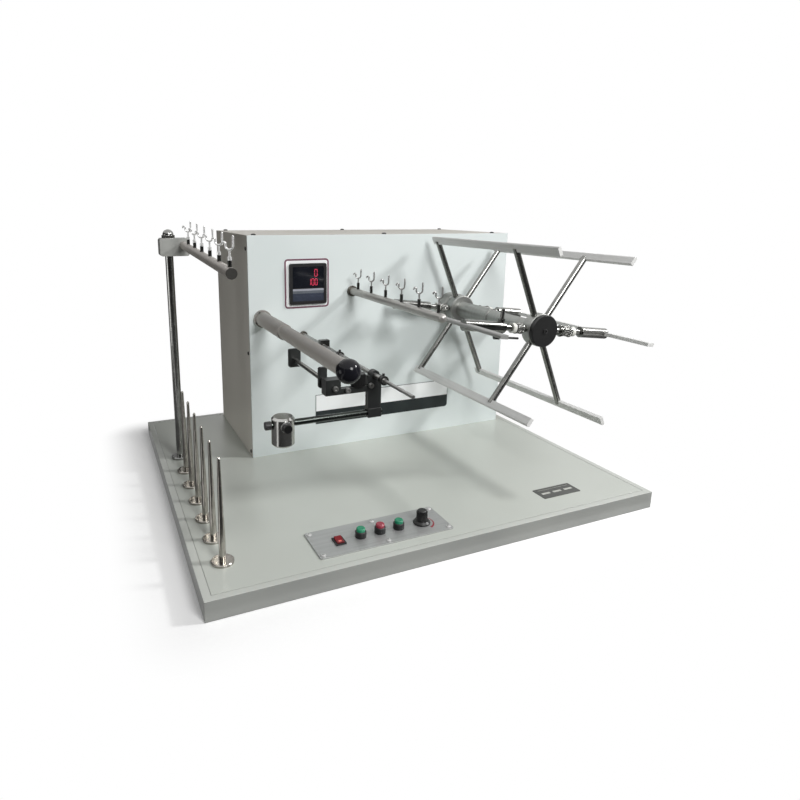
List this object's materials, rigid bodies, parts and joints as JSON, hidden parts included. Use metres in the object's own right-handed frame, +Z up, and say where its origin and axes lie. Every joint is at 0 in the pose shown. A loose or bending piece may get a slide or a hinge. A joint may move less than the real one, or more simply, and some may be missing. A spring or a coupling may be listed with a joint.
{
  "type": "yarn wrap reel with tension balance",
  "caption": "Bench wrap reel for yarn: a motor-driven collapsible reel, hooked yarn guides, bobbin spindles and a weighted balance that sets yarn tension.",
  "frame": {"origin": "middle of the base's underside, on the bench", "axes": "+X to the operator's right, along the base's long side; +Y to the back; +Z up"},
  "size_m": [0.8, 0.742, 0.5003],
  "materials": {
    "base_paint": "satin powder coat",
    "cabinet_paint": "satin powder coat",
    "panel_paint": "satin white paint",
    "chrome": "polished plate",
    "dark_chrome": "dark polished plate",
    "satin_aluminium": "satin anodised",
    "turned_steel": "turned",
    "grey_casting": "grey paint",
    "black_paint": "satin black",
    "black_plastic": "gloss moulded",
    "dark_plastic": "matt moulded",
    "white_nylon": "natural nylon",
    "red_plastic": "translucent red",
    "green_plastic": "green",
    "belt_rubber": "toothed rubber",
    "board": "fibre board",
    "bronze": "sintered"
  },
  "bodies": {
    "frame": {"base_tray": "base_paint", "top_sheet": "cabinet_paint", "cabinet_shell": "cabinet_paint", "front_panel": "panel_paint", "rear_panel": "cabinet_paint", "counter_case": "dark_plastic", "control_plate": "satin_aluminium", "switch_frame": "dark_plastic", "button_housings": "dark_plastic", "speed_pot": "turned_steel", "spindles": "chrome", "post": "dark_chrome", "arm_block": "grey_casting", "dome_nut": "dark_chrome", "overhead_tube": "chrome", "overhead_hooks": "chrome", "tension_tube": "chrome", "ball_knob": "black_plastic", "shaft_bush": "bronze", "guide_bush": "bronze", "traverse_unit": "grey_casting", "front_bearing": "grey_casting", "rear_bearing_stand": "grey_casting", "drive_motor": "grey_casting", "drive_belt": "belt_rubber", "control_board": "board", "power_supply": "satin_aluminium", "count_sensor": "turned_steel", "power_inlet": "dark_plastic"},
    "reel": {"reel_shaft": "turned_steel", "reel_pulley": "satin_aluminium", "count_disc": "turned_steel", "reel_barrel": "turned_steel", "rear_hub": "turned_steel", "front_hub": "turned_steel", "end_disc": "black_plastic", "reel_arms": "chrome", "reel_bars": "satin_aluminium", "arm_buffers": "white_nylon"},
    "release": {"release_sleeves": "chrome", "release_bar": "satin_aluminium"},
    "latch": {"latch_sleeves": "chrome", "latch_bar": "satin_aluminium"},
    "lock": {"lock_screw": "dark_chrome"},
    "motor_rotor": {"motor_pulley": "satin_aluminium"},
    "guide": {"guide_rod": "chrome", "guide_hooks": "chrome"},
    "rocker": {"rocker_shaft": "dark_chrome", "rocker_plates": "black_paint", "dancer_rod": "chrome", "steelyard_beam": "chrome", "beam_knob": "black_plastic"},
    "weight": {"sliding_weight": "chrome"},
    "thumb": {"thumb_screw": "black_plastic"},
    "trim": {"trim_knob": "black_plastic"},
    "power_rocker": {"rocker_switch": "red_plastic"},
    "start": {"start_button": "green_plastic"},
    "stop": {"stop_button": "red_plastic"},
    "reset": {"reset_button": "green_plastic"},
    "speed": {"speed_knob": "black_plastic"}
  },
  "joints": [
    {"name": "reel_spin", "type": "hinge", "parent": "frame", "child": "reel", "pos_m": [0.2284, 0, 0.316], "axis": [0, 1, 0], "continuous": true},
    {"name": "release_slide", "type": "slide", "parent": "reel", "child": "release", "axis": [0.9928, 0, -0.1196], "range_m": [-0.016, 0]},
    {"name": "latch_slide", "type": "slide", "parent": "reel", "child": "latch", "axis": [-0.9928, 0, 0.1196], "range_m": [-0.016, 0]},
    {"name": "lock_turn", "type": "hinge", "parent": "latch", "child": "lock", "pos_m": [0.145, -0.225, 0.32605], "axis": [0.1196, 0, 0.9928], "range_deg": [0, 180]},
    {"name": "motor_spin", "type": "hinge", "parent": "frame", "child": "motor_rotor", "pos_m": [0.0984, 0, 0.13], "axis": [0, 1, 0], "continuous": true},
    {"name": "guide_traverse", "type": "slide", "parent": "frame", "child": "guide", "axis": [0, 1, 0], "range_m": [-0.0175, 0.0175]},
    {"name": "rocker_swing", "type": "hinge", "parent": "frame", "child": "rocker", "pos_m": [-0.115, 0, 0.277], "axis": [0, 1, 0], "range_deg": [0, 6]},
    {"name": "weight_slide", "type": "slide", "parent": "rocker", "child": "weight", "axis": [1, 0, 0], "range_m": [0, 0.1]},
    {"name": "thumb_turn", "type": "hinge", "parent": "weight", "child": "thumb", "pos_m": [-0.26, -0.277, 0.218], "axis": [0, -1, 0], "range_deg": [0, 180]},
    {"name": "trim_turn", "type": "hinge", "parent": "rocker", "child": "trim", "pos_m": [-0.141, -0.26, 0.27], "axis": [0, 0, 1], "range_deg": [0, 180]},
    {"name": "power_switch", "type": "hinge", "parent": "frame", "child": "power_rocker", "pos_m": [-0.186, -0.2965, 0.032], "axis": [-1, 0, 0], "range_deg": [0, 16]},
    {"name": "start_press", "type": "slide", "parent": "frame", "child": "start", "axis": [0, 0, -1], "range_m": [0, 0.003], "stiffness_N_per_m": 400, "springref_m": -0.002},
    {"name": "stop_press", "type": "slide", "parent": "frame", "child": "stop", "axis": [0, 0, -1], "range_m": [0, 0.003], "stiffness_N_per_m": 400, "springref_m": -0.002},
    {"name": "reset_press", "type": "slide", "parent": "frame", "child": "reset", "axis": [0, 0, -1], "range_m": [0, 0.003], "stiffness_N_per_m": 400, "springref_m": -0.002},
    {"name": "speed_turn", "type": "hinge", "parent": "frame", "child": "speed", "pos_m": [-0.042, -0.2965, 0.04], "axis": [0, 0, -1], "range_deg": [0, 280]}
  ],
  "couplings": [
    {"joint": "motor_spin", "follows": "reel_spin", "ratio": 3}
  ]
}
